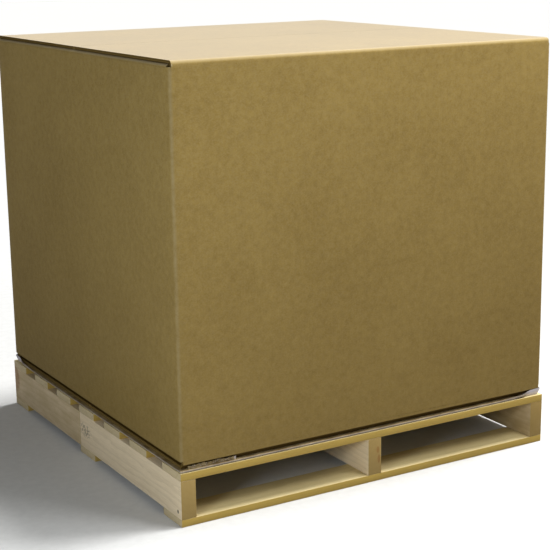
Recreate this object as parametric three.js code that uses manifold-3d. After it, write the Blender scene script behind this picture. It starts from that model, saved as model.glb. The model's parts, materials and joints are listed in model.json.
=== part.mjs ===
// Bulk pallet box: a double-wall corrugated carton on a nailed timber pallet, with a kraft pad between them.
// Millimetres, +Z up. The front, with the two fork openings, faces -Y. The origin is on the floor under the
// middle of the pallet.

import * as THREE from "three";
import { mergeVertices } from "three/addons/utils/BufferGeometryUtils.js";
import Module from "manifold-3d";

// Corners closer than this are one corner, in millimetres.
const MERGE_TOLERANCE = 1e-4;

const wasm = await Module();
wasm.setup();
const { Manifold, Mesh } = wasm;

// Pallet
const PALLET_WIDTH = 1165;
const PALLET_DEPTH = 1165;
const DECK_BOARD_THICKNESS = 20;
const DECK_BOARD_WIDTH = 104;
// How far each deck board was nailed off its even pitch, from the front board to the back one.
const DECK_BOARD_DRIFTS = [0, 20, 11, 8, -1, -1, 0];
const BEARER_WIDTH = 42;
const BEARER_HEIGHT = 102;
const BEARER_SPLICE_GAP = 0.6;
// The left bearer is spliced this far inside the back edge of the middle bottom board.
const SPLICE_COVER = 4;
const BOTTOM_BOARD_THICKNESS = 20;
const BOTTOM_BOARD_WIDTH = 104;
const MIDDLE_BOTTOM_BOARD_DRIFT = 10;

// Nails
const NAIL_HEAD_DIAMETER = 8;
const NAIL_HEAD_THICKNESS = 1.5;
const NAIL_HEAD_SINK = 0.5;
const NAIL_SHANK_DIAMETER = 3.4;
const NAIL_LENGTH = 60;
const NAIL_POINT_LENGTH = 6;
const NAIL_SIDES = 6;
const NAIL_CLEARANCE = 0.3;
// A pair of nails at a crossing stands on a diagonal, this far from the middle along and across the board.
const NAIL_OFFSET_ACROSS_BEARER = 9;
const NAIL_EDGE_DISTANCE = 24;

// Base pad
const PAD_THICKNESS = 6;
const PAD_MARGIN = 1.5;

// Carton
const CARTON_HEIGHT = 1010;
const CARTON_MARGIN = 4.5;
const BOARD = 8;
const LAYER_GAP = 0.5;
const CORNER_RADIUS = 10;
const TOP_FOLD_RADIUS = 11;
const BOTTOM_FOLD_RADIUS = 14;
const SLOT_WIDTH = 10;
const OUTER_FLAP_SEAM = 3;
const INNER_FLAP_SEAM = 12;
const GLUE_TAB_WIDTH = 40;
const FOLD_SEGMENTS = 5;
const HINGE_GAP = 0.3;

// Derived places
const deckUnderside = BOTTOM_BOARD_THICKNESS + BEARER_HEIGHT;
const deckTop = deckUnderside + DECK_BOARD_THICKNESS;
const cartonBottom = deckTop + PAD_THICKNESS;
const cartonTop = cartonBottom + CARTON_HEIGHT;
const cartonHalfWidth = PALLET_WIDTH / 2 - CARTON_MARGIN;
const cartonHalfDepth = PALLET_DEPTH / 2 - CARTON_MARGIN;
const flapInset = SLOT_WIDTH / 2;

const bearerX = {
  left: -(PALLET_WIDTH - BEARER_WIDTH) / 2,
  middle: 0,
  right: (PALLET_WIDTH - BEARER_WIDTH) / 2,
};
const deckPitch = (PALLET_DEPTH - DECK_BOARD_WIDTH) / (DECK_BOARD_DRIFTS.length - 1);
const deckBoardY = DECK_BOARD_DRIFTS.map(
  (drift, row) => (DECK_BOARD_WIDTH - PALLET_DEPTH) / 2 + row * deckPitch + drift);
const bottomBoardY = {
  front: (BOTTOM_BOARD_WIDTH - PALLET_DEPTH) / 2,
  middle: MIDDLE_BOTTOM_BOARD_DRIFT,
  back: (PALLET_DEPTH - BOTTOM_BOARD_WIDTH) / 2,
};
const spliceY = bottomBoardY.middle + BOTTOM_BOARD_WIDTH / 2 - SPLICE_COVER;

// Materials
const kraft = new THREE.MeshStandardMaterial({ color: 0x96804f, roughness: 0.9, metalness: 0 });
const padPaper = new THREE.MeshStandardMaterial({ color: 0xa08c69, roughness: 0.9, metalness: 0 });
const deckPine = new THREE.MeshStandardMaterial({ color: 0xa08545, roughness: 0.8, metalness: 0 });
const bearerPine = new THREE.MeshStandardMaterial({ color: 0x9c8b6c, roughness: 0.85, metalness: 0 });
const wireSteel = new THREE.MeshStandardMaterial({ color: 0x6b6863, roughness: 0.5, metalness: 1 });

// Closed meshes in and out of the solid library
function toSolid(geometry) {
  const bare = geometry.index ? geometry.toNonIndexed() : geometry.clone();
  bare.deleteAttribute("normal");
  bare.deleteAttribute("uv");
  const merged = mergeVertices(bare, MERGE_TOLERANCE);
  return new Manifold(new Mesh({
    numProp: 3,
    vertProperties: Float32Array.from(merged.attributes.position.array),
    triVerts: Uint32Array.from(merged.index.array),
  }));
}

function toGeometry(solid) {
  const mesh = solid.getMesh();
  const geometry = new THREE.BufferGeometry();
  geometry.setAttribute("position", new THREE.BufferAttribute(mesh.vertProperties, 3));
  geometry.setIndex(new THREE.BufferAttribute(mesh.triVerts, 1));
  geometry.computeVertexNormals();
  return geometry;
}

function block([x0, y0, z0], [x1, y1, z1]) {
  const box = new THREE.BoxGeometry(x1 - x0, y1 - y0, z1 - z0);
  box.translate((x0 + x1) / 2, (y0 + y1) / 2, (z0 + z1) / 2);
  return toSolid(box);
}

function unite(solids) {
  return solids.reduce((whole, solid) => whole.add(solid));
}

// A quarter ring of folded board: a bar of the given length whose section turns from straight down to flat.
// It lies along X, with its outer face towards -Y and +Z, and its bend's centre at y = 0, z = 0.
function foldedBar(length, radius) {
  const section = new THREE.Shape();
  section.moveTo(-radius, 0);
  section.absarc(0, 0, radius, Math.PI, Math.PI / 2, true);
  section.lineTo(0, radius - BOARD);
  section.absarc(0, 0, radius - BOARD, Math.PI / 2, Math.PI, false);
  section.closePath();
  const bar = new THREE.ExtrudeGeometry(section, {
    depth: length, bevelEnabled: false, curveSegments: FOLD_SEGMENTS });
  bar.translate(0, 0, -length / 2);
  // The drawn section's x, y and the extrusion become Y, Z and X.
  bar.applyMatrix4(new THREE.Matrix4().set(
    0, 0, 1, 0,
    1, 0, 0, 0,
    0, 1, 0, 0,
    0, 0, 0, 1));
  return bar;
}

// One flap with its fold, drawn for the front panel's top edge: the fold rises from the panel and the flap
// lies back over the box, its outer face at z = level. turn swings it round to another panel, and down
// makes it a bottom flap.
function flap({ length, reach, faceDistance, level, radius, turn, down }) {
  const bend = foldedBar(length, radius);
  bend.translate(0, radius - faceDistance, -radius);
  const leaf = new THREE.BoxGeometry(length, reach - radius, BOARD);
  leaf.translate(0, radius - faceDistance + (reach - radius) / 2, -BOARD / 2);
  return [bend, leaf].map((piece) => {
    if (down) {
      piece.rotateY(Math.PI);
    }
    piece.rotateZ(turn);
    piece.translate(0, 0, level);
    return toSolid(piece);
  });
}

const turnTo = { front: 0, right: Math.PI / 2, back: Math.PI, left: -Math.PI / 2 };

// Reach of the flaps from the outer face of their panel to their free edge
const outerReach = cartonHalfDepth - OUTER_FLAP_SEAM / 2;
const innerReach = cartonHalfWidth - INNER_FLAP_SEAM / 2;
// Side edges stand half a slot in from the corner, and the inner flaps also clear the outer flaps' folds.
const outerFlapLength = 2 * (cartonHalfWidth - flapInset);
const innerFlapLength = 2 * (cartonHalfDepth - flapInset - BOARD);
const innerTopLevel = cartonTop - BOARD - LAYER_GAP;
const innerBottomLevel = cartonBottom + BOARD + LAYER_GAP;

// Carton walls: a rounded rectangular tube, with each panel cut to the height of its own folds.
function roundedOutline(halfWidth, halfDepth, radius) {
  const outline = new THREE.Shape();
  outline.moveTo(-halfWidth + radius, -halfDepth);
  outline.lineTo(halfWidth - radius, -halfDepth);
  outline.absarc(halfWidth - radius, -halfDepth + radius, radius, -Math.PI / 2, 0, false);
  outline.lineTo(halfWidth, halfDepth - radius);
  outline.absarc(halfWidth - radius, halfDepth - radius, radius, 0, Math.PI / 2, false);
  outline.lineTo(-halfWidth + radius, halfDepth);
  outline.absarc(-halfWidth + radius, halfDepth - radius, radius, Math.PI / 2, Math.PI, false);
  outline.lineTo(-halfWidth, -halfDepth + radius);
  outline.absarc(-halfWidth + radius, -halfDepth + radius, radius, Math.PI, Math.PI * 1.5, false);
  return outline;
}

const outerPanelTop = cartonTop - TOP_FOLD_RADIUS;
const outerPanelBottom = cartonBottom + BOTTOM_FOLD_RADIUS;
const innerPanelTop = innerTopLevel - TOP_FOLD_RADIUS;
const innerPanelBottom = innerBottomLevel + BOTTOM_FOLD_RADIUS;

function wallTube() {
  const outline = roundedOutline(cartonHalfWidth, cartonHalfDepth, CORNER_RADIUS);
  outline.holes.push(roundedOutline(cartonHalfWidth - BOARD, cartonHalfDepth - BOARD, CORNER_RADIUS - BOARD));
  const tube = new THREE.ExtrudeGeometry(outline, {
    depth: innerPanelTop - innerPanelBottom, bevelEnabled: false, curveSegments: FOLD_SEGMENTS });
  tube.translate(0, 0, innerPanelBottom);
  return toSolid(tube);
}

// The front and back panels rise higher and reach lower than the sides, between the slots at the corners.
function outerPanel(side) {
  const near = side * cartonHalfDepth;
  const far = side * (cartonHalfDepth - BOARD);
  const halfLength = outerFlapLength / 2;
  return block(
    [-halfLength, Math.min(near, far), outerPanelBottom],
    [halfLength, Math.max(near, far), outerPanelTop - HINGE_GAP]);
}

// Manufacturer's joint: the blank's last panel ends in a raw edge at the back right corner, over a tab that
// is glued inside it.
function glueTab() {
  const inside = cartonHalfWidth - BOARD;
  return block(
    [inside - BOARD, cartonHalfDepth - BOARD - GLUE_TAB_WIDTH, innerPanelBottom + BOTTOM_FOLD_RADIUS],
    [inside, cartonHalfDepth - BOARD, innerPanelTop - TOP_FOLD_RADIUS]);
}

function cartonBody() {
  const innerTop = ["left", "right"].flatMap((side) => flap({
    length: innerFlapLength, reach: innerReach, faceDistance: cartonHalfWidth,
    level: innerTopLevel, radius: TOP_FOLD_RADIUS, turn: turnTo[side], down: false }));
  const innerBottom = ["left", "right"].flatMap((side) => flap({
    length: innerFlapLength, reach: innerReach, faceDistance: cartonHalfWidth,
    level: innerBottomLevel, radius: BOTTOM_FOLD_RADIUS, turn: turnTo[side], down: true }));
  const outerBottom = ["front", "back"].flatMap((side) => flap({
    length: outerFlapLength, reach: outerReach, faceDistance: cartonHalfDepth,
    level: cartonBottom, radius: BOTTOM_FOLD_RADIUS, turn: turnTo[side], down: true }));
  return unite([
    wallTube(), outerPanel(-1), outerPanel(1), glueTab(), ...innerTop, ...innerBottom, ...outerBottom]);
}

// An outer top flap with its fold: it stands on its panel's top edge and turns about a line just outside it.
function outerFlap(side) {
  return unite(flap({
    length: outerFlapLength, reach: outerReach, faceDistance: cartonHalfDepth,
    level: cartonTop, radius: TOP_FOLD_RADIUS, turn: turnTo[side], down: false }));
}

// Nails: a head, a shank and a point, standing on their head's top face at z = 0 and pointing down
function nail(extra, reachUp) {
  const headRadius = NAIL_HEAD_DIAMETER / 2 + extra;
  const shankRadius = NAIL_SHANK_DIAMETER / 2 + extra;
  const headBottom = -NAIL_HEAD_THICKNESS - extra;
  const profile = [
    new THREE.Vector2(0, -NAIL_LENGTH - extra),
    new THREE.Vector2(shankRadius, NAIL_POINT_LENGTH - NAIL_LENGTH - extra),
    new THREE.Vector2(shankRadius, headBottom),
    new THREE.Vector2(headRadius, headBottom),
    new THREE.Vector2(headRadius, reachUp),
    new THREE.Vector2(0, reachUp),
  ];
  const lathe = new THREE.LatheGeometry(profile, NAIL_SIDES);
  lathe.rotateX(Math.PI / 2);
  return lathe;
}

function crossingNails(x, y, boardWidth, mirror) {
  const along = boardWidth / 2 - NAIL_EDGE_DISTANCE;
  return [
    { letter: "a", x: x - NAIL_OFFSET_ACROSS_BEARER, y: y - mirror * along },
    { letter: "b", x: x + NAIL_OFFSET_ACROSS_BEARER, y: y + mirror * along },
  ];
}

const deckNails = deckBoardY.flatMap((y, index) => Object.entries(bearerX).flatMap(([bearer, x]) =>
  crossingNails(x, y, DECK_BOARD_WIDTH, 1).map((spot) => ({
    ...spot, row: index + 1, name: `deck_nail_${index + 1}_${bearer}_${spot.letter}` }))));
const bottomNails = Object.entries(bottomBoardY).flatMap(([place, y]) => Object.values(bearerX).flatMap(
  (x) => crossingNails(x, y, BOTTOM_BOARD_WIDTH, -1).map((spot) => ({ ...spot, place }))));

function placed(geometry, x, y, z) {
  const copy = geometry.clone();
  copy.translate(x, y, z);
  return toSolid(copy);
}

const deckNailTop = deckTop - NAIL_HEAD_SINK;
const deckNailShape = nail(0, 0);
const deckNailHole = nail(NAIL_CLEARANCE, 2 * NAIL_HEAD_SINK);
const bottomNailShape = nail(0, 0);
bottomNailShape.rotateX(Math.PI);
const bottomNailHole = nail(NAIL_CLEARANCE, 0);
bottomNailHole.rotateX(Math.PI);

const deckHoles = deckNails.map((spot) => ({
  row: spot.row, solid: placed(deckNailHole, spot.x, spot.y, deckNailTop) }));
const bottomHoles = bottomNails.map((spot) => placed(bottomNailHole, spot.x, spot.y, 0));

// Pallet timber
function deckBoard(index) {
  const y = deckBoardY[index];
  const timber = block(
    [-PALLET_WIDTH / 2, y - DECK_BOARD_WIDTH / 2, deckUnderside],
    [PALLET_WIDTH / 2, y + DECK_BOARD_WIDTH / 2, deckTop]);
  return deckHoles.filter((hole) => hole.row === index + 1)
    .reduce((whole, hole) => whole.subtract(hole.solid), timber);
}

function bearer(x, y0, y1) {
  const timber = block(
    [x - BEARER_WIDTH / 2, y0, BOTTOM_BOARD_THICKNESS],
    [x + BEARER_WIDTH / 2, y1, deckUnderside]);
  return [...deckHoles.map((hole) => hole.solid), ...bottomHoles]
    .reduce((whole, hole) => whole.subtract(hole), timber);
}

function bottomBoard(place) {
  const y = bottomBoardY[place];
  const timber = block(
    [-PALLET_WIDTH / 2, y - BOTTOM_BOARD_WIDTH / 2, 0],
    [PALLET_WIDTH / 2, y + BOTTOM_BOARD_WIDTH / 2, BOTTOM_BOARD_THICKNESS]);
  const nails = bottomNails.filter((spot) => spot.place === place)
    .map((spot) => placed(bottomNailShape, spot.x, spot.y, 0));
  return unite([timber, ...nails]);
}

function basePad() {
  const halfWidth = PALLET_WIDTH / 2 - PAD_MARGIN;
  const halfDepth = PALLET_DEPTH / 2 - PAD_MARGIN;
  return block([-halfWidth, -halfDepth, deckTop], [halfWidth, halfDepth, cartonBottom]);
}

// Assembly
const group = new THREE.Group();

function addPiece(name, solid, material) {
  const mesh = new THREE.Mesh(toGeometry(solid), material);
  mesh.name = name;
  group.add(mesh);
}

addPiece("carton_body", cartonBody(), kraft);
addPiece("front_flap", outerFlap("front"), kraft);
addPiece("back_flap", outerFlap("back"), kraft);
addPiece("base_pad", basePad(), padPaper);

for (let index = 0; index < deckBoardY.length; index += 1) {
  addPiece(`deck_board_${index + 1}`, deckBoard(index), deckPine);
}

const palletFront = -PALLET_DEPTH / 2;
const palletBack = PALLET_DEPTH / 2;
addPiece("bearer_left_front", bearer(bearerX.left, palletFront, spliceY - BEARER_SPLICE_GAP / 2), bearerPine);
addPiece("bearer_left_back", bearer(bearerX.left, spliceY + BEARER_SPLICE_GAP / 2, palletBack), bearerPine);
addPiece("bearer_middle", bearer(bearerX.middle, palletFront, palletBack), bearerPine);
addPiece("bearer_right", bearer(bearerX.right, palletFront, palletBack), bearerPine);

for (const place of Object.keys(bottomBoardY)) {
  addPiece(`bottom_board_${place}`, bottomBoard(place), deckPine);
}

for (const spot of deckNails) {
  const mesh = new THREE.Mesh(toGeometry(toSolid(deckNailShape)), wireSteel);
  mesh.name = spot.name;
  mesh.position.set(spot.x, spot.y, deckNailTop);
  group.add(mesh);
}

export default group;
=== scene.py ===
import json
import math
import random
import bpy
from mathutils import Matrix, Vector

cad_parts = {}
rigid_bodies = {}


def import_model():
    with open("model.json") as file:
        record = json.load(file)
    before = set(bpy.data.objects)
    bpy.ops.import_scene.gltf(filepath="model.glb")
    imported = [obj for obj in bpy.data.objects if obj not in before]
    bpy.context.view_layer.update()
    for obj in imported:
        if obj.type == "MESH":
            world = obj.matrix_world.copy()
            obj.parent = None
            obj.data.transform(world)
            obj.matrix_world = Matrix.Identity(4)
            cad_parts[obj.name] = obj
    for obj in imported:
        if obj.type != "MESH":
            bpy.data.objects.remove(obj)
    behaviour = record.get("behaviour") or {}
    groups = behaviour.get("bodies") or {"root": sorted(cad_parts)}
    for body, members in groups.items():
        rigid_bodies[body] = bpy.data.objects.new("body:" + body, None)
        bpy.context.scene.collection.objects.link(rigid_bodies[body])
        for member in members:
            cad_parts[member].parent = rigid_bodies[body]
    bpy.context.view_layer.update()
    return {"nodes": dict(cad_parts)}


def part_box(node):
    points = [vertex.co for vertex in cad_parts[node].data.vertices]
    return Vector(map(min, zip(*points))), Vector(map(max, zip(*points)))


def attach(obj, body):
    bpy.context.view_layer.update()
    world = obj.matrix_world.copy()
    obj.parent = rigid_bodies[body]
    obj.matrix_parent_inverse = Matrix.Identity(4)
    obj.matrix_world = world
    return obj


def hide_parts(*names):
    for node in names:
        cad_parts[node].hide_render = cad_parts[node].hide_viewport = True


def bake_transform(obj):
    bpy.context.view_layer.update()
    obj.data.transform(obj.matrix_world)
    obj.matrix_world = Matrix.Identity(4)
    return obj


bl_info = {
    "name": "Bulk Pallet Box",
    "version": (1, 0, 0),
    "blender": (4, 5, 0),
    "location": "3D View > Sidebar > Pallet Box",
    "description": "Models a corrugated bulk box on its nailed timber pallet",
    "category": "Add Mesh",
}

import bmesh
import bpy
from mathutils import Euler, Matrix, Vector

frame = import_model()

MM = 0.001
# What lies closer than this is taken to touch
TINY = 0.02 * MM
# The body of the carton and its pallet
BASE = "base"

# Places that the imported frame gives
BODY_LOW, BODY_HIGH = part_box("carton_body")
FLAP_LOW, FLAP_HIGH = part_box("front_flap")
PAD_LOW, PAD_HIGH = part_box("base_pad")
BEARER_LOW, BEARER_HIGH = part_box("bearer_middle")


def setting(kind, name, default, description, **more):
    """A property that a user can change in the sidebar."""
    return kind(name=name, default=default, description=description, **more)


def length(name, default, description):
    return setting(bpy.props.FloatProperty, name, default, description,
                   subtype="DISTANCE", unit="LENGTH")


def number(name, default, description):
    return setting(bpy.props.FloatProperty, name, default, description)


def count(name, default, description):
    return setting(bpy.props.IntProperty, name, default, description, min=1)


def hex_colour(name, default, description):
    return setting(bpy.props.StringProperty, name, default, description)


class PALLETBOX_PG_carton(bpy.types.PropertyGroup):
    board: length("Board", 8 * MM, "Thickness of the double-wall board")
    flute_pitch: length("Flute pitch", 8 * MM, "Distance from one flute to the next")
    liner: length("Liner", 0.8 * MM, "Thickness of a liner as it shows at a cut edge")
    flute_depth: length("Flute depth", 9 * MM, "How far one sees into the flutes at a cut edge")
    channel_depth: length("Channel depth", 2.5 * MM, "How deep a flute opens at a side edge")
    slot_inset: length("Slot inset", 6.5 * MM, "How far a flap's side edge stands in from the corner")
    corner_rise: length("Corner rise", 4 * MM, "How far the upright folds rise between the flaps")
    corner_radius: length("Corner radius", 10 * MM, "Outer radius of the four upright folds")
    top_fold_radius: length("Top fold radius", 11 * MM, "Outer radius of the folds at the top")
    bottom_fold_radius: length("Bottom fold radius", 14 * MM, "Outer radius of the folds at the base")
    layer_gap: length("Layer gap", 0.5 * MM, "Air between an outer flap and the inner one")
    inner_seam: length("Inner seam", 12 * MM, "Gap between the two inner flaps")
    outer_seam: length("Outer seam", 1.6 * MM, "Gap between the two outer flaps")
    panel_wave: length("Panel wave", 1.6 * MM, "How far the big panels wander from flat")
    panel_wave_size: length("Panel wave size", 450 * MM, "Size of the waves in the panels")
    flap_wave_size: length("Flap wave size", 350 * MM, "Size of the waves in the outer flaps")
    panel_cuts: count("Panel cuts", 29, "Cuts along each panel's width")
    panel_rows: count("Panel rows", 26, "Rows up the panels")
    fold_steps: count("Fold steps", 8, "Steps round a flap's fold")
    leaf_rows: count("Leaf rows", 6, "Rows along an inner or bottom flap")
    cover_rows: count("Cover rows", 14, "Rows along an outer top flap")
    glue_tab: length("Glue tab", 40 * MM, "Width of the tab inside the back right corner")
    tab_foot: length("Tab foot", 50 * MM, "How far above the carton's base the tab begins")
    tab_top: length("Tab top", 40 * MM, "How far below the inner flaps the tab ends")


class PALLETBOX_PG_strip(bpy.types.PropertyGroup):
    start: length("Start", 22 * MM, "How far from the left corner the torn strip begins")
    run: length("Run", 136 * MM, "Length of the strip")
    height: length("Height", 8 * MM, "Height of the strip")
    inset: length("Inset", 4.8 * MM, "How far in from the front panel's face the strip stands")
    thickness: length("Thickness", 1.6 * MM, "Thickness of the strip with its small folds")
    fold_size: length("Fold size", 7 * MM, "Size and depth of the folds in the strip")
    rag_size: length("Rag size", 12 * MM, "Length of the rags along its edges")
    rag_height: length("Rag height", 7 * MM, "Height of the rags along its edges")
    pale_end: length("Pale end", 5 * MM, "Length of the bleached right end")
    cuts: count("Cuts", 60, "Cuts along the strip")
    rows: count("Rows", 4, "Cuts up the strip")


class PALLETBOX_PG_pad(bpy.types.PropertyGroup):
    lip: length("Lip", 9 * MM, "How far in from its edge the pad can bend up")
    loose: length("Loose", 2.6 * MM, "How far the pad's thin rim stands clear of the deck")
    lift: length("Lift", 10 * MM, "How far the rim has risen where a corner begins to curl")
    lift_length: length("Lift length", 155 * MM, "How far from a corner the rim begins to rise")
    curl: length("Curl", 15 * MM, "How far the tip of a loose corner curls up")
    curl_length: length("Curl length", 66 * MM, "How far along the rim the curled tip reaches")
    pressed: length("Pressed", 0.8 * MM, "How far the rim is pressed down by the load")
    tucked: length("Tucked", 4 * MM, "How far in a curled corner leans against the carton")
    steepness: number("Steepness", 3.0, "How sharply the tip curls up along that length")
    # How much paler the cut edge is painted: partly fraying, partly a painted highlight along the lit
    # rim
    frayed: number("Frayed", 0.25, "How pale the cut edge is all round")
    squares: count("Squares", 120, "Faces along each side of the pad")
    rings: count("Rings", 3, "Narrow rings of faces that let the rim bend up")


class PALLETBOX_PG_timber(bpy.types.PropertyGroup):
    arris: length("Arris", 1.4 * MM, "Worn width of the sawn edges")
    wander: length("Wander", 1.1 * MM, "How far a sawn face wanders from flat")
    wander_size: length("Wander size", 120 * MM, "Size of the waves in a sawn face")
    station: length("Station", 22 * MM, "Distance between cross sections along a board")
    nail_head: length("Nail head", 8 * MM, "Diameter of the nail heads")
    nail_sides: count("Nail sides", 20, "Sides of a nail head")
    nail_rise: length("Nail rise", 0.4 * MM, "How far a head stands proud of the timber")
    nail_aside: length("Nail aside", 9 * MM, "How far a nail stands from the middle of the bearer")
    nail_in: length("Nail in", 24 * MM, "How far a nail stands in from the board's edge")


class PALLETBOX_PG_colours(bpy.types.PropertyGroup):
    kraft: hex_colour("Kraft", "A2884A", "Linerboard where it is clean")
    kraft_dark: hex_colour("Kraft dark", "8C733A", "Linerboard where it is rubbed and dusty")
    # Pale kraft for the fibre flecks and the rubbed upright folds, and for the painted highlight along
    # the top folds
    kraft_worn: hex_colour("Kraft worn", "B3A17A", "Linerboard where a fold has stretched it")
    flute: hex_colour("Flute", "6B5733", "Fluting paper inside a cut edge")
    pad: hex_colour("Pad", "A08D68", "Paper of the base pad")
    # Pale grey painted on the pad's curled tips as a painted highlight, and on the torn strip where its
    # back shows
    pad_back: hex_colour("Pad back", "D4CDD2", "Bleached back of the pad, where a corner shows it")
    # Deck tones are painted light, lit and shaded copies of one pine: wide faces paler as if lit from
    # above, narrow faces yellower as in warm front light, ends greyer as in cool light from the left
    deck: hex_colour("Deck", "E0CF9C", "Wide faces of the boards, pale pine")
    deck_edge: hex_colour("Deck edge", "C0A150", "Narrow faces of the boards, resinous yellow")
    deck_end: hex_colour("Deck end", "D2C09A", "Sawn ends of the boards")
    bearer: hex_colour("Bearer", "F4DFBC", "Wide faces of the bearers, pale pine")
    bearer_end: hex_colour("Bearer end", "A88D56", "Sawn ends of the bearers")
    # Also the brown of the painted shade on the right bearer
    stain: hex_colour("Stain", "957B45", "Olive brown of weathered and resinous timber")
    ink: hex_colour("Ink", "5B5648", "Smudge of a rubbed mark, and the old nail hole")
    resin: hex_colour("Resin", "8C5D2C", "Resin bleeding at an end and round knots")
    nail: hex_colour("Nail", "6E6A63", "Wire steel")
    floor: hex_colour("Floor", "CFCFCD", "Floor and backdrop")
    floor_tooth: hex_colour("Floor tooth", "D6D6D4", "High places of the floor's tooth")
    floor_bounce: hex_colour("Floor bounce", "8C8C8A", "Tone with which the floor lights the object")


class PALLETBOX_PG_stage(bpy.types.PropertyGroup):
    focal: number("Focal length", 92.4, "Lens in millimetres on a 36 mm sensor")
    eye: setting(bpy.props.FloatVectorProperty, "Eye", (-2.0348, -3.5373, 1.4298),
                 "Where the camera stands", subtype="XYZ", unit="LENGTH")
    azimuth: number("Azimuth", 30.371, "How far the camera looks round to the right, in degrees")
    elevation: number("Elevation", 13.418, "How far it looks down, in degrees")
    roll: number("Roll", -0.82, "How far it leans, in degrees")
    ambient: number("Ambient", 0.15, "Strength of the world's light on the object")
    floor_size: length("Floor size", 60.0, "Side of the square floor")
    far: length("Far", 200.0, "How far the camera sees")


def props():
    return bpy.context.scene.pallet_box


class PALLETBOX_PG_all(bpy.types.PropertyGroup):
    carton: bpy.props.PointerProperty(type=PALLETBOX_PG_carton)
    strip: bpy.props.PointerProperty(type=PALLETBOX_PG_strip)
    pad: bpy.props.PointerProperty(type=PALLETBOX_PG_pad)
    timber: bpy.props.PointerProperty(type=PALLETBOX_PG_timber)
    colours: bpy.props.PointerProperty(type=PALLETBOX_PG_colours)
    stage: bpy.props.PointerProperty(type=PALLETBOX_PG_stage)


# Materials

def linear(hex_text):
    """A linear RGBA colour from an sRGB hex value."""
    channels = [int(hex_text[place:place + 2], 16) / 255 for place in (0, 2, 4)]
    return tuple(c / 12.92 if c <= 0.04045 else ((c + 0.055) / 1.055) ** 2.4 for c in channels) + (1.0,)


def node(tree, kind, settings=None, values=None, links=None):
    """Adds one shader node with its settings, plain values and links."""
    made = tree.nodes.new(kind)
    for key, value in (settings or {}).items():
        setattr(made, key, value)
    for key, value in (values or {}).items():
        made.inputs[key].default_value = value
    for key, socket in (links or {}).items():
        tree.links.new(socket, made.inputs[key])
    return made


def blank_material(name, roughness, ior=1.5, gloss=0.5):
    """An empty material. A gloss below 0.5 makes it reflect less than its index of refraction says."""
    material = bpy.data.materials.new(name)
    material.use_nodes = True
    shader = material.node_tree.nodes["Principled BSDF"]
    shader.inputs["Roughness"].default_value = roughness
    shader.inputs["IOR"].default_value = ior
    shader.inputs["Specular IOR Level"].default_value = gloss
    return material, material.node_tree, shader


def mapped(tree, source, scale):
    """The source coordinates multiplied by a scale for each axis."""
    mapping = node(tree, "ShaderNodeMapping", values={"Scale": scale}, links={"Vector": source})
    return mapping.outputs["Vector"]


def noise(tree, vector, scale, detail=4.0, roughness=0.55):
    values = {"Scale": scale, "Detail": detail, "Roughness": roughness}
    made = node(tree, "ShaderNodeTexNoise", values=values, links={"Vector": vector})
    return made.outputs["Fac"]


def ramp(tree, factor, low, high, start=0.0, end=1.0):
    made = node(tree, "ShaderNodeMapRange", {"clamp": True},
                {"From Min": low, "From Max": high, "To Min": start, "To Max": end}, {"Value": factor})
    return made.outputs["Result"]


def combine(tree, operation, *values):
    """A math node whose inputs are sockets or plain numbers."""
    made = tree.nodes.new("ShaderNodeMath")
    made.operation = operation
    for place, value in enumerate(values):
        if isinstance(value, (int, float)):
            made.inputs[place].default_value = value
        else:
            tree.links.new(value, made.inputs[place])
    return made.outputs["Value"]


def product(tree, first, second):
    return combine(tree, "MULTIPLY", first, second)


def larger(tree, first, second):
    return combine(tree, "MAXIMUM", first, second)


def mix(tree, factor, first, second, blend="MIX"):
    """Two colours, each a socket or a hex value, mixed by a factor."""
    made = tree.nodes.new("ShaderNodeMix")
    made.data_type = "RGBA"
    made.blend_type = blend
    for key, value in (("Factor_Float", factor), ("A_Color", first), ("B_Color", second)):
        socket = next(s for s in made.inputs if s.identifier == key)
        if isinstance(value, str):
            socket.default_value = linear(value)
        else:
            tree.links.new(value, socket)
    return next(s for s in made.outputs if s.identifier == "Result_Color")


def attribute(tree, name, output="Fac"):
    return node(tree, "ShaderNodeAttribute", {"attribute_name": name}).outputs[output]


def feed(shader, name, socket):
    shader.id_data.links.new(socket, shader.inputs[name])


def bump(tree, height, strength, distance, before=None):
    links = {"Height": height}
    if before is not None:
        links["Normal"] = before
    values = {"Strength": strength, "Distance": distance}
    return node(tree, "ShaderNodeBump", values=values, links=links).outputs["Normal"]


def kraft_linerboard():
    """Brown kraft liner of the panels and folds, dulled by handling."""
    return linerboard("kraft_linerboard", gloss=0.004)


def calendered_liner():
    """The same liner on top of the outer flaps, with the sheen of the paper mill's rollers."""
    return linerboard("calendered_liner", gloss=0.62)


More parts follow.
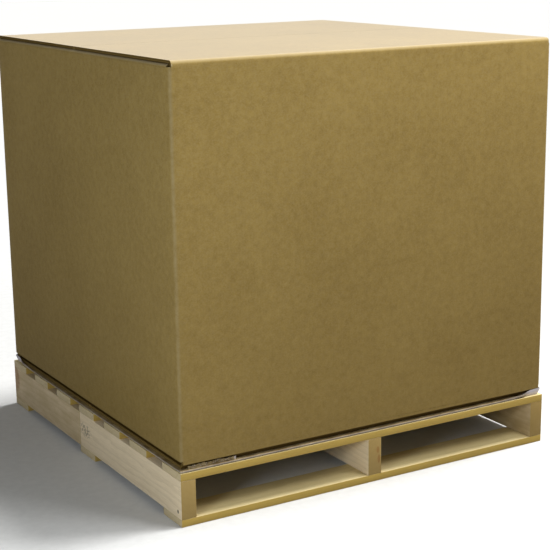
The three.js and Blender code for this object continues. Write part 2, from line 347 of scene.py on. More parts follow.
def linerboard(name, gloss):
    """Kraft paper over corrugated medium: long-fibred, faintly washboarded by the flutes."""
    colours = props().colours
    carton = props().carton
    material, tree, shader = blank_material(name, 0.3, 1.4, gloss)
    place = attribute(tree, "rest_place", "Vector")
    axes = node(tree, "ShaderNodeSeparateXYZ", links={"Vector": place})
    height = axes.outputs["Z"]
    side = BODY_HIGH.x
    top = FLAP_HIGH.z
    # Clouds of a hand's breadth, blotches of a centimetre and fibres of a few millimetres
    clouds = noise(tree, place, 4.0, 3.0)
    blotches = noise(tree, place, 60.0, 5.0, 0.65)
    fibres = noise(tree, mapped(tree, place, (0.7, 0.7, 1.0)), 330.0, 3.0, 0.7)
    tone = combine(tree, "ADD", product(tree, clouds, 0.35), product(tree, blotches, 0.65))
    base = mix(tree, ramp(tree, tone, 0.34, 0.66), colours.kraft_dark, colours.kraft)
    speckled = mix(tree, ramp(tree, fibres, 0.3, 0.8, 0.0, 0.35), base, colours.kraft_worn)
    # The upright folds are rubbed pale where the liner stretched over the corner
    across = combine(tree, "ABSOLUTE", axes.outputs["X"])
    along = combine(tree, "ABSOLUTE", axes.outputs["Y"])
    corner = combine(tree, "MINIMUM", across, along)
    fold = ramp(tree, corner, side - 9 * MM, side - 3 * MM)
    rubbed = product(tree, fold, ramp(tree, noise(tree, place, 60.0), 0.3, 0.6, 0.2, 0.5))
    edge = larger(tree, across, along)
    # Painted highlight: the folds along the tops of all four panels are painted paler, where they catch
    # the light from above
    near_edge = ramp(tree, edge, side - 13 * MM, side - 10 * MM)
    top_fold_highlight = ramp(tree, height, top - 9 * MM, top - 3 * MM, 0.0, 0.7)
    wear_and_highlight = larger(tree, rubbed, product(tree, near_edge, top_fold_highlight))
    # Along the sides the folds of the inner flaps stand bare below the outer flaps, and their crest
    # gets a stronger painted highlight, a pale line where the fold catches the light
    side_edge = ramp(tree, across, side - 11 * MM, side - 8 * MM)
    crest = ramp(tree, height, top - 16 * MM, top - 11 * MM)
    below = ramp(tree, height, top - 8.5 * MM, top - 8.2 * MM, 1.0, 0.0)
    side_fold_highlight = product(tree, product(tree, crest, below), side_edge)
    wear_and_highlight = larger(tree, wear_and_highlight, side_fold_highlight)
    # Pale kraft over the rubbed upright folds, and as a painted highlight over the top folds
    worn = mix(tree, wear_and_highlight, speckled, colours.kraft_worn)
    # Darker towards the base as painted shade: the lower half of the panels is painted down towards the
    # fluting's brown, and a dark band of painted shade lies on the fold at the base
    lower_shade = ramp(tree, height, BODY_LOW.z, BODY_HIGH.z, 0.38, 0.0)
    dusty = mix(tree, lower_shade, worn, colours.flute)
    # Painted shade: the bottom fold is darkened in a band where it sits in shadow above the pad
    pressed = ramp(tree, height, BODY_LOW.z + 8 * MM, BODY_LOW.z + 15 * MM, 0.75, 0.0)
    finished = mix(tree, pressed, dusty, colours.flute, "MULTIPLY")
    feed(shader, "Base Color", finished)
    feed(shader, "Roughness", ramp(tree, fibres, 0.2, 0.8, 0.26, 0.34))
    # The washboard is drawn from each flute's own place, at the flutes' true pitch
    flutes = attribute(tree, "flute_place")
    swing = combine(tree, "SINE", product(tree, flutes, 2 * math.pi / carton.flute_pitch))
    ribbed = bump(tree, swing, 0.05, 0.25 * MM)
    mottled = bump(tree, blotches, 0.12, 1.5 * MM, ribbed)
    felted = bump(tree, fibres, 0.25, 0.25 * MM, mottled)
    feed(shader, "Normal", felted)
    return material


def fluting_paper():
    """Unbleached fluting medium seen at a cut edge: darker, rougher and torn fibred."""
    colours = props().colours
    material, tree, shader = blank_material("fluting_paper", 0.85, gloss=0.05)
    place = attribute(tree, "rest_place", "Vector")
    fibres = noise(tree, place, 500.0, 4.0, 0.7)
    colour = mix(tree, ramp(tree, fibres, 0.3, 0.7), colours.flute, colours.kraft_dark)
    feed(shader, "Base Color", colour)
    feed(shader, "Normal", bump(tree, fibres, 0.4, 0.3 * MM))
    return material


def recycled_liner():
    """Paler recycled liner of the base pad, painted pale grey at the loose corners that curl up, as a
    painted highlight on the curled tips.
    """
    colours = props().colours
    material, tree, shader = blank_material("recycled_liner", 0.6, gloss=0.05)
    place = attribute(tree, "rest_place", "Vector")
    blotches = noise(tree, place, 22.0, 5.0, 0.6)
    fibres = noise(tree, place, 480.0, 3.0, 0.7)
    paper = mix(tree, ramp(tree, blotches, 0.35, 0.65), colours.flute, colours.pad)
    # Pale grey where the attribute says: a painted highlight on the pad's curled tips and rim, and the
    # pale back of the torn strip
    bleached = attribute(tree, "bleached")
    colour = mix(tree, bleached, paper, colours.pad_back)
    feed(shader, "Base Color", colour)
    feed(shader, "Normal", bump(tree, fibres, 0.35, 0.3 * MM))
    return material


def spot(tree, place, centre, radii):
    """A soft ellipsoid in the object's own space: 1 in its middle, 0 outside."""
    kind = "ShaderNodeVectorMath"
    away = node(tree, kind, {"operation": "SUBTRACT"}, {1: centre}, {0: place})
    scaled = node(tree, kind, {"operation": "DIVIDE"}, {1: radii}, {0: away.outputs["Vector"]})
    reach = node(tree, kind, {"operation": "LENGTH"}, links={0: scaled.outputs["Vector"]})
    return ramp(tree, reach.outputs["Value"], 0.7, 1.0, 1.0, 0.0)


def sawn_pine(name, face, edge, end, dark):
    """Rough-sawn radiata pine: growth rings as a solid figure, saw marks across the faces, dull.

    The figure's X axis runs along the board. Ends and narrow faces have tones of their own; on the deck
    boards these are painted light, lit and shaded copies of one pine.
    """
    material, tree, shader = blank_material(name, 0.65, gloss=0.2)
    place = attribute(tree, "timber_place", "Vector")
    # Growth rings about 7 mm apart, drawn out along the board
    rings = node(tree, "ShaderNodeTexWave", {
        "wave_type": "RINGS", "rings_direction": "X", "wave_profile": "SAW"}, {
        "Scale": 20.0, "Distortion": 7.0, "Detail": 3.0, "Detail Scale": 1.4,
        "Detail Roughness": 0.6}, {
        "Vector": mapped(tree, place, (0.10, 1.0, 1.0))}).outputs["Fac"]
    pores = noise(tree, mapped(tree, place, (0.03, 1.0, 1.0)), 900.0, 3.0, 0.7)
    clouds = noise(tree, mapped(tree, place, (0.35, 1.0, 1.0)), 16.0, 4.0, 0.6)
    cut = attribute(tree, "end_grain")
    stain = attribute(tree, "stain")
    narrow = attribute(tree, "edge_grain")
    # On the deck the wide, narrow and end faces get painted light: wide faces paler as if lit from
    # above, narrow faces yellower as in warm front light, ends greyer as in cool light from the left
    wood = mix(tree, cut, mix(tree, narrow, face, edge), end)
    figure = mix(tree, ramp(tree, rings, 0.45, 1.0, 0.0, 0.16), wood, dark)
    streaked = mix(tree, ramp(tree, pores, 0.4, 0.75, 0.0, 0.25), figure, dark)
    # Patchy stain on the timber; on the right bearer the same darkening is painted shade
    patchy = product(tree, ramp(tree, clouds, 0.3, 0.65, 0.5, 1.0), stain)
    stained = mix(tree, patchy, streaked, dark)
    feed(shader, "Base Color", marked(tree, stained, pores))
    # Band-saw marks stand across the board, about 4 mm apart
    saw = noise(tree, mapped(tree, place, (1.0, 0.08, 0.08)), 260.0, 2.0, 0.5)
    grained = bump(tree, rings, 0.12, 0.8 * MM)
    sawn = bump(tree, saw, 0.22, 0.6 * MM, grained)
    pored = bump(tree, pores, 0.25, 0.3 * MM, sawn)
    feed(shader, "Normal", pored)
    feed(shader, "Roughness", ramp(tree, clouds, 0.3, 0.7, 0.55, 0.75))
    return material


# Marks on the bearers, each with its middle and its radii in metres
SMUDGE = ((BODY_LOW.x, 0.019, 0.076), (0.03, 0.045, 0.024))
NAIL_HOLE = ((BODY_LOW.x, BEARER_LOW.y + 0.020, 0.037), (0.03, 0.005, 0.006))
# Resin at the far end of the left bearer and two knots in the front end of the middle one
RESIN = (
    ((BODY_LOW.x, BEARER_HIGH.y - 0.005, 0.085), (0.03, 0.040, 0.050)),
    ((0.010, BEARER_LOW.y, 0.088), (0.005, 0.02, 0.011)),
    ((0.013, BEARER_LOW.y, 0.062), (0.005, 0.02, 0.014)),
)


def marked(tree, wood, pores):
    """The bearers' few marks: a rubbed smudge, an old nail hole, resin at an end and two knots."""
    colours = props().colours
    place = node(tree, "ShaderNodeTexCoord").outputs["Object"]
    broken = ramp(tree, noise(tree, place, 110.0, 3.0), 0.48, 0.56, 0.0, 0.6)
    smudge = product(tree, spot(tree, place, *SMUDGE), broken)
    colour = mix(tree, smudge, wood, colours.ink)
    colour = mix(tree, spot(tree, place, *NAIL_HOLE), colour, colours.ink)
    bleeding = ramp(tree, pores, 0.3, 0.6, 0.25, 0.8)
    for centre, radii in RESIN:
        resin = product(tree, spot(tree, place, centre, radii), bleeding)
        colour = mix(tree, resin, colour, colours.resin)
    return colour


def deck_pine():
    """Pine of the deck boards and bottom boards, its face tones painted light: wide faces paler as if
    lit from above, narrow faces yellower as in warm light from the front, ends greyer as in cool light
    from the left.
    """
    colours = props().colours
    return sawn_pine("deck_pine", colours.deck, colours.deck_edge, colours.deck_end, colours.stain)


def bearer_pine():
    """Pine of the bearers: pale, dry and a little grey."""
    colours = props().colours
    face = colours.bearer
    return sawn_pine("bearer_pine", face, face, colours.bearer_end, colours.stain)


def wire_steel():
    """Plain drawn wire: dull grey, a little rusted."""
    colours = props().colours
    material, tree, shader = blank_material("wire_steel", 0.45)
    shader.inputs["Metallic"].default_value = 1.0
    place = node(tree, "ShaderNodeTexCoord").outputs["Object"]
    rust = noise(tree, place, 300.0, 4.0, 0.6)
    colour = mix(tree, ramp(tree, rust, 0.5, 0.7), colours.nail, colours.flute)
    feed(shader, "Base Color", colour)
    feed(shader, "Roughness", ramp(tree, rust, 0.4, 0.7, 0.35, 0.7))
    return material


def rays_that_see(tree):
    """1 for rays that see the background, straight or reflected, and 0 for rays that light things."""
    rays = node(tree, "ShaderNodeLightPath")
    seen = larger(tree, rays.outputs["Is Camera Ray"], rays.outputs["Is Glossy Ray"])
    return larger(tree, seen, rays.outputs["Is Transmission Ray"])


def stage_paper():
    """Seamless pale paper, with a little tooth. It throws less light back up than its tone says."""
    colours = props().colours
    material, tree, shader = blank_material("stage_paper", 0.9)
    place = node(tree, "ShaderNodeTexCoord").outputs["Object"]
    tooth = noise(tree, place, 40.0, 3.0)
    pale = mix(tree, ramp(tree, tooth, 0.3, 0.7), colours.floor, colours.floor_tooth)
    colour = mix(tree, rays_that_see(tree), colours.floor_bounce, pale)
    feed(shader, "Base Color", colour)
    return material


def finish_of(maker):
    """The material that a maker makes, made once and then shared."""
    return bpy.data.materials.get(maker.__name__) or maker()


# Modelling helpers

def start_clean():
    """Leaves edit mode and deselects everything, so an operator acts only on what is added next."""
    if bpy.context.object and bpy.context.object.mode != "OBJECT":
        bpy.ops.object.mode_set(mode="OBJECT")
    bpy.ops.object.select_all(action="DESELECT")


def edit():
    bpy.ops.object.mode_set(mode="EDIT")


def leave():
    bpy.ops.object.mode_set(mode="OBJECT")


def middle_of(item):
    if isinstance(item, bmesh.types.BMVert):
        return item.co
    if isinstance(item, bmesh.types.BMEdge):
        return (item.verts[0].co + item.verts[1].co) / 2
    return item.calc_center_median()


def pick(kind, test):
    """Selects, in edit mode, the verts, edges or faces that pass a test of the item and its middle."""
    bpy.ops.mesh.select_mode(type={"verts": "VERT", "edges": "EDGE", "faces": "FACE"}[kind])
    bpy.ops.mesh.select_all(action="DESELECT")
    data = bpy.context.edit_object.data
    mesh = bmesh.from_edit_mesh(data)
    for item in getattr(mesh, kind):
        item.select_set(bool(test(item, middle_of(item))))
    mesh.select_flush_mode()
    bmesh.update_edit_mesh(data)


def pick_all():
    bpy.ops.mesh.select_all(action="SELECT")


def extrude(x, y, z):
    bpy.ops.mesh.extrude_region_move(TRANSFORM_OT_translate={"value": (x, y, z)})


def added(name, size):
    """The primitive just added, named, stretched to its size and in edit mode."""
    made = bpy.context.object
    made.name = name
    made.scale = size
    settle(made)
    edit()
    return made


def block(name, middle, size):
    start_clean()
    bpy.ops.mesh.primitive_cube_add(size=1.0, location=middle)
    return added(name, size)


def grid(name, middle, size, columns, rows):
    start_clean()
    bpy.ops.mesh.primitive_grid_add(size=1.0, location=middle, x_subdivisions=columns,
                                    y_subdivisions=rows)
    return added(name, size)


def close_skin():
    """Turns every face of the edited mesh outwards and leaves edit mode."""
    pick_all()
    bpy.ops.mesh.normals_make_consistent(inside=False)
    leave()


def select(*things):
    """Selects these objects alone and makes the first one active."""
    bpy.ops.object.select_all(action="DESELECT")
    for thing in things:
        thing.select_set(True)
    bpy.context.view_layer.objects.active = things[0]


def settle(thing):
    """Applies the object's place, turn and scale to its mesh."""
    select(thing)
    bpy.ops.object.transform_apply(location=True, rotation=True, scale=True)


def join(pieces, name):
    select(*pieces)
    bpy.ops.object.join()
    whole = bpy.context.object
    whole.name = name
    whole.data.name = name
    return whole


def modify(thing, kind, **settings):
    """Adds a modifier with its settings and applies it."""
    select(thing)
    modifier = thing.modifiers.new(kind.title(), kind)
    for key, value in settings.items():
        setattr(modifier, key, value)
    bpy.ops.object.modifier_apply(modifier=modifier.name)


def wander(thing, name, size, strength, direction="NORMAL"):
    """Lets a surface wander from flat, by clouds of the given size."""
    clouds = bpy.data.textures.new(name, "CLOUDS")
    clouds.noise_scale = size
    clouds.noise_depth = 1
    modify(thing, "DISPLACE", texture=clouds, texture_coords="GLOBAL", strength=strength,
           mid_level=0.5, direction=direction)


def write_attribute(thing, name, kind, value_at):
    """Stores a value for each vertex, worked out from its place."""
    data = thing.data
    made = data.attributes.get(name) or data.attributes.new(name, kind, "POINT")
    key = "vector" if kind == "FLOAT_VECTOR" else "value"
    values = []
    for vertex in data.vertices:
        value = value_at(vertex.co)
        values.extend(value if kind == "FLOAT_VECTOR" else (value,))
    made.data.foreach_set(key, values)


def soften(thing, degrees=40):
    select(thing)
    bpy.ops.object.shade_smooth_by_angle(angle=math.radians(degrees))


def hand_over(thing, nodes, body=BASE):
    """Hides the CAD nodes that a finished piece stands for, and hangs it on its body."""
    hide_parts(*nodes)
    if body:
        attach(thing, body)


# The carton's flaps

def layer():
    """The height that one flap takes up at the top or at the base."""
    carton = props().carton
    return carton.board + carton.layer_gap


def folded_flap(name, width, reach, radius, stem, rows, crushed):
    """One flap of double-wall board with its fold, drawn at the front panel, its outer face at z = 0.

    A strip of the panel rises by the stem, spins a quarter turn over the fold and runs back as the
    leaf. Its side edges are cut along the flutes, so they show two open channels, and its free edge
    is cut across them. A crushed fold at the base is pushed in under the panel's edge.
    """
    carton = props().carton
    board = carton.board
    columns = round(width / carton.flute_pitch)
    pitch = width / columns
    outside = -BODY_HIGH.x
    foot = -radius - stem
    middle = outside + board / 2
    flap = grid(name, (0, middle, foot), (width, board, 1), columns, 2)
    # Half a pitch of stagger in the middle liner lets the flutes' triangles stand upright
    pick("verts", lambda v, at: abs(at.y - middle) < TINY and abs(at.x) < width / 2 - TINY)
    bpy.ops.transform.translate(value=(pitch / 2, 0, 0))
    bpy.ops.mesh.select_mode(type="FACE")
    pick_all()
    extrude(0, 0, stem)
    bpy.ops.mesh.spin(steps=carton.fold_steps, angle=math.pi / 2, axis=(1, 0, 0),
                      center=(0, outside + radius, -radius))
    for _ in range(rows):
        extrude(0, (reach - radius) / rows, 0)
    free_edge = outside + reach
    bpy.ops.mesh.quads_convert_to_tris(quad_method="FIXED", ngon_method="BEAUTY")
    bpy.ops.mesh.inset(thickness=carton.liner / 2, depth=-carton.flute_depth, use_individual=True)

    def sunk(at):
        """How deep in the board a point lies, from the outer face."""
        if at.z < -radius:
            return at.y - outside
        if at.y > outside + radius:
            return -at.z
        return radius - math.hypot(at.y - outside - radius, at.z + radius)

    for side in (-1, 1):
        for low, high in ((-board, board / 2), (board / 2, 2 * board)):
            pick("faces", lambda face, at: face.normal.x * side > 0.9
                 and abs(at.x - side * width / 2) < TINY
                 and low < sunk(at) < high and at.y < free_edge - TINY)
            bpy.ops.mesh.inset(thickness=carton.liner, depth=-carton.channel_depth, use_boundary=True)
    if crushed:
        push_in(outside, radius)
    close_skin()
    return flap


def push_in(outside, radius):
    """Moves the verts of the bend inwards, so that the fold runs back under the panel's edge."""
    data = bpy.context.edit_object.data
    mesh = bmesh.from_edit_mesh(data)
    for vertex in mesh.verts:
        back = outside + radius - vertex.co.y
        up = vertex.co.z + radius
        if back > TINY and up > TINY:
            turned = math.atan2(up, back)
            vertex.co.y += radius * (math.sqrt(math.sin(turned)) - 1 + math.cos(turned))
    bmesh.update_edit_mesh(data)


def colour_cuts(flap, width, free_edge, shiny):
    """Liner on the faces and fluting paper in the cuts. A shiny leaf is calendered outside."""
    carton = props().carton
    finishes = [kraft_linerboard, fluting_paper]
    if shiny:
        finishes.append(calendered_liner)
    for finish in finishes:
        flap.data.materials.append(finish_of(finish))
    side = width / 2 - TINY
    skin = carton.liner / 4
    for face in flap.data.polygons:
        at = face.center
        depth = -at.z
        inside = abs(at.x) < side
        flute_wall = inside and abs(face.normal.x) > 0.5
        in_channel = inside and abs(at.x) > side - carton.channel_depth and depth > 0
        near_end = free_edge - carton.flute_depth - carton.liner < at.y < free_edge - TINY
        in_flute = near_end and skin < depth < carton.board - skin
        if flute_wall or in_channel or in_flute:
            face.material_index = finishes.index(fluting_paper)
        elif shiny and face.normal.z > 0.85:
            face.material_index = finishes.index(calendered_liner)


def place_flap(flap, level, turn, down):
    flap.rotation_euler = (0, math.pi if down else 0, turn)
    flap.location = (0, 0, level)
    settle(flap)


# How far each panel's flap is turned from the front one
TURNS = {"front": 0.0, "right": math.pi / 2, "back": math.pi, "left": -math.pi / 2}


def flap_for(side, top):
    """The top or bottom flap of one panel, in its place."""
    carton = props().carton
    outer = side in ("front", "back")
    half = BODY_HIGH.x
    radius = carton.top_fold_radius if top else carton.bottom_fold_radius
    seam = carton.outer_seam if outer else carton.inner_seam
    width = 2 * (half - carton.slot_inset - (0 if outer else carton.board))
    reach = half - seam / 2
    level = FLAP_HIGH.z if top else BODY_LOW.z
    stem = layer() if outer else 0.0
    if not outer:
        level += layer() * (-1 if top else 1)
    rows = carton.cover_rows if top and outer else carton.leaf_rows
    flap = folded_flap(f"{side}_leaf", width, reach, radius, stem, rows, crushed=not top)
    colour_cuts(flap, width, -half + reach, shiny=top and outer)
    write_attribute(flap, "flute_place", "FLOAT", lambda co: co.x)
    place_flap(flap, level, TURNS[side], not top)
    return flap


def wall_tube():
    """The four panels as one closed sleeve of board, with its upright folds."""
    carton = props().carton
    half = BODY_HIGH.x
    low = BODY_LOW.z + layer() + carton.bottom_fold_radius
    high = FLAP_HIGH.z - layer() - carton.top_fold_radius
    start_clean()
    bpy.ops.mesh.primitive_plane_add(size=2 * half, location=(0, 0, low))
    tube = bpy.context.object
    settle(tube)
    edit()
    pick_all()
    bpy.ops.mesh.bevel(affect="VERTICES", offset=carton.corner_radius, segments=6)
    bpy.ops.mesh.inset(thickness=carton.board)
    bpy.ops.mesh.delete(type="FACE")
    # Stations along each straight side and up the panels, so that they can wander
    pick("edges", lambda edge, at: edge.calc_length() > half)
    bpy.ops.mesh.subdivide(number_cuts=carton.panel_cuts)
    pick_all()
    for _ in range(carton.panel_rows):
        extrude(0, 0, (high - low) / carton.panel_rows)
    # Between the flaps the upright folds rise to the bottom of the slots
    corner = half - carton.slot_inset - carton.board
    pick("verts", lambda v, at: at.z > high - TINY and min(abs(at.x), abs(at.y)) > corner)
    bpy.ops.transform.translate(value=(0, 0, carton.corner_rise))
    close_skin()
    tube.data.materials.append(finish_of(kraft_linerboard))
    write_attribute(tube, "flute_place", "FLOAT",
                    lambda co: co.y if abs(co.x) > half - carton.corner_radius else co.x)
    return tube


def glue_tab():
    """The maker's joint: a tab glued inside the back right corner, its edge crushed thin."""
    carton = props().carton
    inside = BODY_HIGH.x - carton.board
    low = BODY_LOW.z + carton.tab_foot
    high = BODY_HIGH.z - carton.tab_top
    middle = (inside - carton.board / 2, inside - carton.glue_tab / 2, (low + high) / 2)
    tab = block("glue_tab", middle, (carton.board, carton.glue_tab, high - low))
    # Only the upright inner edge is crushed
    pick("edges", lambda edge, at: at.x < inside - carton.board + TINY
         and at.y < inside - carton.glue_tab / 2
         and abs(edge.verts[0].co.z - edge.verts[1].co.z) > carton.board)
    bpy.ops.mesh.bevel(offset=0.8 * carton.board, segments=3)
    leave()
    tab.data.materials.append(finish_of(kraft_linerboard))
    write_attribute(tab, "flute_place", "FLOAT", lambda co: co.y)
    return tab


def torn_strip():
    """A crumpled strip of liner, torn from the bottom flap and left standing in the pressed fold."""
    torn = props().strip
    middle = Vector((-BODY_HIGH.x + torn.start + torn.run / 2,
                     -BODY_HIGH.x + torn.inset, BODY_LOW.z + torn.height / 2))
    strip = block("torn_strip", middle, (torn.run, torn.thickness, torn.height))
    pick("edges", lambda edge, at: edge.calc_length() > torn.height * 2)
    bpy.ops.mesh.subdivide(number_cuts=torn.cuts)
    pick("edges", lambda edge, at: abs(edge.verts[0].co.z - edge.verts[1].co.z) > torn.height / 2)
    bpy.ops.mesh.subdivide(number_cuts=torn.rows)
    leave()
    wander(strip, "torn_folds", torn.fold_size, torn.fold_size, "Y")
    wander(strip, "torn_edge", torn.rag_size, torn.rag_height, "Z")
    strip.data.materials.append(finish_of(recycled_liner))
    write_attribute(strip, "flute_place", "FLOAT", lambda co: co.x)
    # The strip's back shows here and there among its folds, and all of it at its right end
    pale_from = middle.x + torn.run / 2 - torn.pale_end
    dice = random.Random(7)
    write_attribute(strip, "bleached", "FLOAT",
                    lambda co: 0.6 if co.x > pale_from else dice.uniform(-0.4, 0.35))
    return strip


class PALLETBOX_OT_carton_body(bpy.types.Operator):
    """Folds the carton's sleeve, inner top flaps and bottom flaps"""
    bl_idname = "pallet_box.carton_body"
    bl_label = "Carton body"

    def execute(self, context):
        carton = props().carton
        parts = [wall_tube(), glue_tab(), torn_strip()]
        parts += [flap_for(side, top=True) for side in ("left", "right")]
        parts += [flap_for(side, top=False) for side in ("left", "right", "front", "back")]
        body = join(parts, "carton_body_folded")
        write_attribute(body, "rest_place", "FLOAT_VECTOR", lambda co: co[:])
        wander(body, "panel_wave", carton.panel_wave_size, carton.panel_wave)
        soften(body)
        hand_over(body, ["carton_body"])
        return {"FINISHED"}


class PALLETBOX_OT_outer_flaps(bpy.types.Operator):
    """Folds the two outer top flaps, which open on the front and back panels"""
    bl_idname = "pallet_box.outer_flaps"
    bl_label = "Outer top flaps"

    def execute(self, context):
        carton = props().carton
        for side, sign in (("front", -1), ("back", 1)):
            flap = flap_for(side, top=True)
            flap.name = f"{side}_flap_folded"
            write_attribute(flap, "rest_place", "FLOAT_VECTOR", lambda co: co[:])
            wander(flap, f"{side}_flap_wave", carton.flap_wave_size, carton.panel_wave / 2, "Z")
            soften(flap)
            hand_over(flap, [f"{side}_flap"], body=None)
            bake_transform(flap)
        return {"FINISHED"}


# The base pad

# The corners that have come loose, at the right front and the far left
LOOSE_CORNERS = ((1, -1), (-1, 1))


def from_side(at):
    """Distance of a point from the pad's nearest side."""
    return min(PAD_HIGH.x - abs(at.x), PAD_HIGH.y - abs(at.y))


def from_loose_corner(at):
    """Distance from the nearest loose corner, along the axis on which it is farther."""
    return min(max(PAD_HIGH.x - x * at.x, PAD_HIGH.y - y * at.y) for x, y in LOOSE_CORNERS)


def curled(at):
    """1 at the tips of the loose corners, 0 away from them."""
    pad = props().pad
    return min(1.0, pad.steepness * max(0.0, 1 - from_loose_corner(at) / pad.curl_length))


def rim_rise(at):
    """How far the rim has risen near a loose corner."""
    pad = props().pad
    slope = max(0.0, 1 - from_loose_corner(at) / pad.lift_length)
    return pad.lift * slope + (pad.curl - pad.lift) * curled(at)


def bleaching(at):
    """The curled tips are painted pale as a painted highlight; the cut edge all round is a little
    frayed and painted paler, partly as a painted highlight along the lit rim.
    """
    return max(curled(at), props().pad.frayed if from_side(at) < TINY else 0.0)


def bend_rim(at):
    """Raises one vertex of the rim: the sheet at the loose corners, its underside elsewhere."""
    pad = props().pad
    inward = from_side(at)
    share = max(0.0, 1 - inward / pad.lip)
    underside = at.z < (PAD_LOW.z + PAD_HIGH.z) / 2
    rise = max(rim_rise(at), pad.loose) if underside else rim_rise(at) - pad.pressed
    at.z += share * rise
    tucked = share * curled(at) * pad.tucked
    if inward > PAD_HIGH.x - abs(at.x) - TINY:
        at.x -= math.copysign(tucked, at.x)
    if inward > PAD_HIGH.y - abs(at.y) - TINY:
        at.y -= math.copysign(tucked, at.y)


class PALLETBOX_OT_base_pad(bpy.types.Operator):
    """Lays the thin pad on the deck, with its loose corners curled up"""
    bl_idname = "pallet_box.base_pad"
    bl_label = "Base pad"

    def execute(self, context):
        pad = props().pad
        size = PAD_HIGH - PAD_LOW
        sheet = grid("base_pad_laid", (0, 0, PAD_LOW.z), (size.x, size.y, 1), pad.squares, pad.squares)
        pick_all()
        for _ in range(pad.rings):
            bpy.ops.mesh.inset(thickness=pad.lip / pad.rings)
        pick_all()
        extrude(0, 0, size.z)
        close_skin()
        write_attribute(sheet, "rest_place", "FLOAT_VECTOR", lambda co: co[:])
        # The painted highlight on the curled tips and the paler rim
        write_attribute(sheet, "bleached", "FLOAT", bleaching)
        for vertex in sheet.data.vertices:
            bend_rim(vertex.co)
        sheet.data.materials.append(finish_of(recycled_liner))
        soften(sheet)
        hand_over(sheet, ["base_pad"])
        return {"FINISHED"}


# Pallet timber

def saw_timber(name, low, high, along, seed, stain):
    """One length of rough-sawn timber between two corners, with worn edges and wandering faces."""
    timber = props().timber
    size = high - low
    middle = (low + high) / 2
    board = block(name, middle, size)
    stations = max(4, round(size[along] / timber.station))
    pick("edges", lambda edge, at: edge.calc_length() > size[along] / 2)
    bpy.ops.mesh.subdivide(number_cuts=stations)
    # The sawn edges are the ones between faces at right angles
    pick("edges", lambda edge, at: len(edge.link_faces) == 2
         and edge.link_faces[0].normal.dot(edge.link_faces[1].normal) < 0.5)
    bpy.ops.mesh.bevel(offset=timber.arris, segments=2, profile=0.6)
    leave()
    cross = 1 - along
    # Each length is cut from another place in the log, with the pith 40 to 120 mm above its middle
    dice = random.Random(seed)
    shift = dice.uniform(-3, 3)
    pith = Vector((dice.uniform(-0.06, 0.06), -dice.uniform(0.04, 0.12)))

    def figure_place(co):
        local = co - middle
        return (local[along] + shift, local[cross] + pith.x, local.z + pith.y)

    write_attribute(board, "timber_place", "FLOAT_VECTOR", figure_place)
    # Each length's stain, which on the right bearer is painted shade
    write_attribute(board, "stain", "FLOAT", lambda co: stain + dice.uniform(0, 0.02))
    mark_faces(board, "end_grain", along)
    mark_faces(board, "edge_grain", cross if size.z < size[cross] else 2)
    wander(board, f"{name}_wander", timber.wander_size, timber.wander)
    # Nothing sinks below the nail heads that the pallet stands on
    for vertex in board.data.vertices:
        vertex.co.z = max(vertex.co.z, timber.nail_rise)
    soften(board, 35)
    return board


def mark_faces(board, name, axis):
    """Marks the faces that look along one axis, for the timber's material."""
    marks = board.data.attributes.new(name, "FLOAT", "FACE")
    for face, mark in zip(board.data.polygons, marks.data):
        mark.value = 1.0 if abs(face.normal[axis]) > 0.7 else 0.0


def nail_heads(low, high):
    """The heads of the nails that hold a bottom board to the three bearers, seen from below."""
    timber = props().timber
    heads = []
    middle = (low.y + high.y) / 2
    along = (high.y - low.y) / 2 - timber.nail_in
    side = (high.x - low.x) / 2 - BEARER_HIGH.x
    for x in (-side, 0, side):
        for sign in (-1, 1):
            start_clean()
            bpy.ops.mesh.primitive_cylinder_add(
                vertices=timber.nail_sides, radius=timber.nail_head / 2, depth=2 * timber.nail_rise,
                location=(x + sign * timber.nail_aside, middle - sign * along, timber.nail_rise))
            head = bpy.context.object
            head.data.materials.append(finish_of(wire_steel))
            heads.append(head)
    return heads


def board_between(node_name):
    """The timber corners of a node, without the nail shanks that stand out of it."""
    low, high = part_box(node_name)
    low, high = Vector(low), Vector(high)
    if node_name.startswith("bottom_board"):
        low.z += props().timber.nail_rise
        high.z = BEARER_LOW.z
    return low, high


class PALLETBOX_OT_boards(bpy.types.Operator):
    """Saws the deck boards and the bottom boards"""
    bl_idname = "pallet_box.boards"
    bl_label = "Deck and bottom boards"

    def execute(self, context):
        names = sorted(n for n in frame["nodes"] if n.startswith(("deck_board", "bottom_board")))
        for seed, node_name in enumerate(names, start=100):
            low, high = board_between(node_name)
            board = saw_timber(f"{node_name}_sawn", low, high, 0, seed, stain=0.15)
            board.data.materials.append(finish_of(deck_pine))
            if node_name.startswith("bottom_board"):
                board = join([board, *nail_heads(low, high)], board.name)
                soften(board, 35)
            hand_over(board, [node_name])
        return {"FINISHED"}


class PALLETBOX_OT_bearers(bpy.types.Operator):
    """Saws the three bearers, of which the left one is spliced"""
    bl_idname = "pallet_box.bearers"
    bl_label = "Bearers"
    # The far length of the left bearer is stained browner than the others, and the right bearer is
    # painted browner all over as painted shade, for the shade on its inner faces
    STAINS = {"bearer_left_back": 0.62, "bearer_right": 0.85}
    FAINT_STAIN = 0.08

    def execute(self, context):
        names = sorted(n for n in frame["nodes"] if n.startswith("bearer"))
        for seed, node_name in enumerate(names, start=200):
            low, high = board_between(node_name)
            stain = self.STAINS.get(node_name, self.FAINT_STAIN)
            bearer = saw_timber(f"{node_name}_sawn", low, high, 1, seed, stain)
            bearer.data.materials.append(finish_of(bearer_pine))
            hand_over(bearer, [node_name])
        return {"FINISHED"}


class PALLETBOX_OT_nails(bpy.types.Operator):
    """Gives the deck nails their steel"""
    bl_idname = "pallet_box.nails"
    bl_label = "Nails"

    def execute(self, context):
        steel = finish_of(wire_steel)
        for node_name in frame["nodes"]:
            if node_name.startswith("deck_nail"):
                nail = bpy.data.objects[node_name]
                nail.data.materials.clear()
                nail.data.materials.append(steel)
        return {"FINISHED"}


# Stage

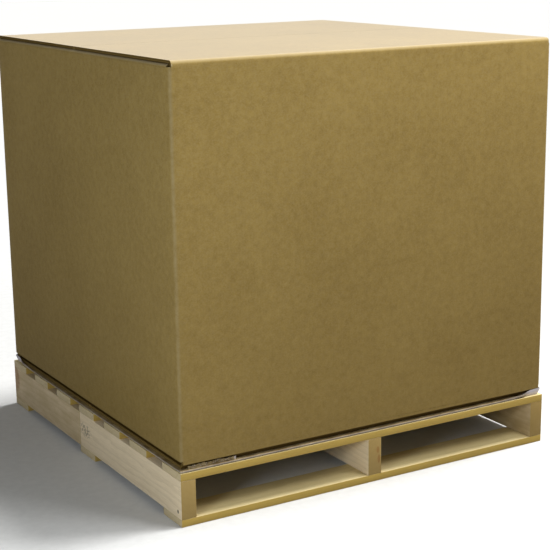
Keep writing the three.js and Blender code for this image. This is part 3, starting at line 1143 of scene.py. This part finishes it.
class PALLETBOX_OT_stage(bpy.types.Operator):
    """Sets the floor, the lights, the world and the camera"""
    bl_idname = "pallet_box.stage"
    bl_label = "Stage"

    def execute(self, context):
        self.floor()
        self.world()
        self.sun("high_sun", toward=(0.42, -0.02, 0.90), strength=4.6, spread=20)
        self.lamp("front_lamp", place=(0.8, -1.9, 2.7), target=(0.2, -0.58, 1.0), size=1.0,
                  power=39, colour=(1.0, 1.0, 1.0))
        self.lamp("left_lamp", place=(-2.0, -1.5, 0.7), target=(-0.58, -0.5, 0.5), size=0.4,
                  power=15, colour=(0.84, 0.92, 1.0))
        self.camera()
        bpy.context.scene.view_settings.view_transform = "Standard"
        return {"FINISHED"}

    def floor(self):
        start_clean()
        bpy.ops.mesh.primitive_plane_add(size=props().stage.floor_size, location=(0, 0, 0))
        floor = bpy.context.object
        floor.name = "stage_floor"
        floor.data.materials.append(stage_paper())

    def world(self):
        world = bpy.data.worlds.new("pale_room")
        bpy.context.scene.world = world
        world.use_nodes = True
        tree = world.node_tree
        background = tree.nodes["Background"]
        strength = ramp(tree, rays_that_see(tree), 0.0, 1.0, props().stage.ambient, 1.0)
        background.inputs["Color"].default_value = (1, 1, 1, 1)
        tree.links.new(strength, background.inputs["Strength"])

    def sun(self, name, toward, strength, spread):
        data = bpy.data.lights.new(name, "SUN")
        data.energy = strength
        data.angle = math.radians(spread)
        sun = bpy.data.objects.new(name, data)
        bpy.context.scene.collection.objects.link(sun)
        sun.rotation_euler = Vector(toward).to_track_quat("Z", "Y").to_euler()

    def lamp(self, name, place, target, size, power, colour):
        data = bpy.data.lights.new(name, "AREA")
        data.color = colour
        data.size = size
        data.energy = power
        lamp = bpy.data.objects.new(name, data)
        bpy.context.scene.collection.objects.link(lamp)
        lamp.location = place
        lamp.rotation_euler = (Vector(target) - Vector(place)).to_track_quat("-Z", "Y").to_euler()

    def camera(self):
        stage = props().stage
        data = bpy.data.cameras.new("camera")
        data.sensor_width = 36
        data.lens = stage.focal
        data.clip_end = stage.far
        camera = bpy.data.objects.new("camera", data)
        bpy.context.scene.collection.objects.link(camera)
        aim = Euler((math.radians(90 - stage.elevation), 0, math.radians(-stage.azimuth))).to_matrix()
        lean = Matrix.Rotation(math.radians(stage.roll), 3, "Z")
        camera.rotation_euler = (aim @ lean).to_euler()
        camera.location = stage.eye
        bpy.context.scene.camera = camera


class PALLETBOX_PT_panel(bpy.types.Panel):
    """Lists the pallet box's pieces in the sidebar"""
    bl_label = "Pallet Box"
    bl_idname = "PALLETBOX_PT_panel"
    bl_space_type = "VIEW_3D"
    bl_region_type = "UI"
    bl_category = "Pallet Box"

    def draw(self, context):
        column = self.layout.column()
        for operator in OPERATORS:
            column.operator(operator.bl_idname)
        for group in PALLETBOX_PG_all.__annotations__:
            settings = getattr(props(), group)
            box = column.box()
            for key in settings.__annotations__:
                box.prop(settings, key)


OPERATORS = (
    PALLETBOX_OT_carton_body,
    PALLETBOX_OT_outer_flaps,
    PALLETBOX_OT_base_pad,
    PALLETBOX_OT_boards,
    PALLETBOX_OT_bearers,
    PALLETBOX_OT_nails,
    PALLETBOX_OT_stage,
)

CLASSES = (
    PALLETBOX_PG_carton,
    PALLETBOX_PG_strip,
    PALLETBOX_PG_pad,
    PALLETBOX_PG_timber,
    PALLETBOX_PG_colours,
    PALLETBOX_PG_stage,
    PALLETBOX_PG_all,
    *OPERATORS,
    PALLETBOX_PT_panel,
)


def register():
    for each in CLASSES:
        bpy.utils.register_class(each)
    bpy.types.Scene.pallet_box = bpy.props.PointerProperty(type=PALLETBOX_PG_all)


def unregister():
    del bpy.types.Scene.pallet_box
    for each in reversed(CLASSES):
        bpy.utils.unregister_class(each)


def main():
    register()
    bpy.ops.pallet_box.carton_body()
    bpy.ops.pallet_box.outer_flaps()
    bpy.ops.pallet_box.base_pad()
    bpy.ops.pallet_box.boards()
    bpy.ops.pallet_box.bearers()
    bpy.ops.pallet_box.nails()
    bpy.ops.pallet_box.stage()


if __name__ == "__main__":
    main()
